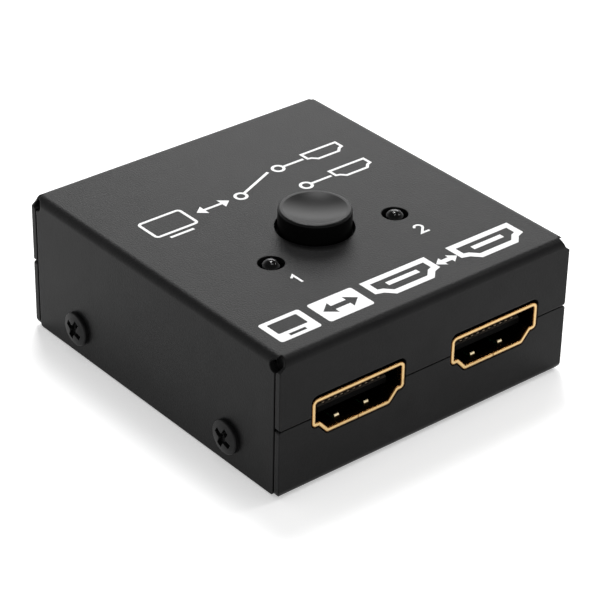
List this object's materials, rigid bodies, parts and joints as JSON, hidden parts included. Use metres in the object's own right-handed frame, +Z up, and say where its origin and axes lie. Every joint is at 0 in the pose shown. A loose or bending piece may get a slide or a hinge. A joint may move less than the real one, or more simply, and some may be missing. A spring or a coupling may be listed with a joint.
{
  "type": "video switch box",
  "caption": "Folded sheet-metal switch box with stepped video sockets at its ends, a latching push button with a dished face, clear indicator lamps and side screws.",
  "frame": {"origin": "middle of the underside", "axes": "+X to the right seen from the front, +Y to the rear, +Z up"},
  "size_m": [0.0504, 0.0524, 0.023],
  "materials": {
    "case_paint": "fine satin powder coat over folded steel sheet",
    "screw_black": "blackened steel, low gloss",
    "board_green": "solder mask over glass fibre",
    "post_brass": "turned or stamped brass",
    "bare_steel": "plated steel",
    "tinned": "tinned copper",
    "shell_gold": "gold plated sheet, bright",
    "insulator_black": "moulded, matt",
    "button_black": "moulded, satin",
    "switch_black": "moulded, matt",
    "plunger_cream": "moulded acetal",
    "lamp_clear": "water-clear cast resin",
    "chip_black": "moulded package",
    "capacitor_tan": "fired ceramic with tinned ends"
  },
  "bodies": {
    "case": {"top_cover": "case_paint", "bottom_cover": "case_paint", "cover_screws": "screw_black", "circuit_board": "board_green", "board_posts": "post_brass", "board_screws": "bare_steel", "port_1_shell": "shell_gold", "port_1_insulator": "insulator_black", "port_1_contacts": "shell_gold", "port_2_shell": "shell_gold", "port_2_insulator": "insulator_black", "port_2_contacts": "shell_gold", "common_port_shell": "shell_gold", "common_port_insulator": "insulator_black", "common_port_contacts": "shell_gold", "switch_housing": "switch_black", "switch_cover": "bare_steel", "switch_spring": "bare_steel", "switch_terminals": "tinned", "led_1": "lamp_clear", "led_1_leads": "tinned", "led_2": "lamp_clear", "led_2_leads": "tinned", "mux_chip": "chip_black", "board_capacitors": "capacitor_tan", "board_resistors": "chip_black"},
    "button": {"button_cap": "button_black", "switch_plunger": "plunger_cream", "switch_clips": "post_brass"},
    "latch": {"switch_latch": "bare_steel"}
  },
  "joints": [
    {"name": "button_press", "type": "slide", "parent": "case", "child": "button", "axis": [0, 0, 1], "range_m": [-0.0022, 0], "stiffness_N_per_m": 600, "springref_m": 0.002, "deforming": ["switch_spring"]},
    {"name": "latch_swing", "type": "hinge", "parent": "case", "child": "latch", "pos_m": [0, -0.00632, 0.0081], "axis": [0, 1, 0], "range_deg": [0, 16.62]}
  ],
  "couplings": [
    {"joint": "latch_swing", "follows": "button_press", "rad_per_m": -131.7}
  ]
}
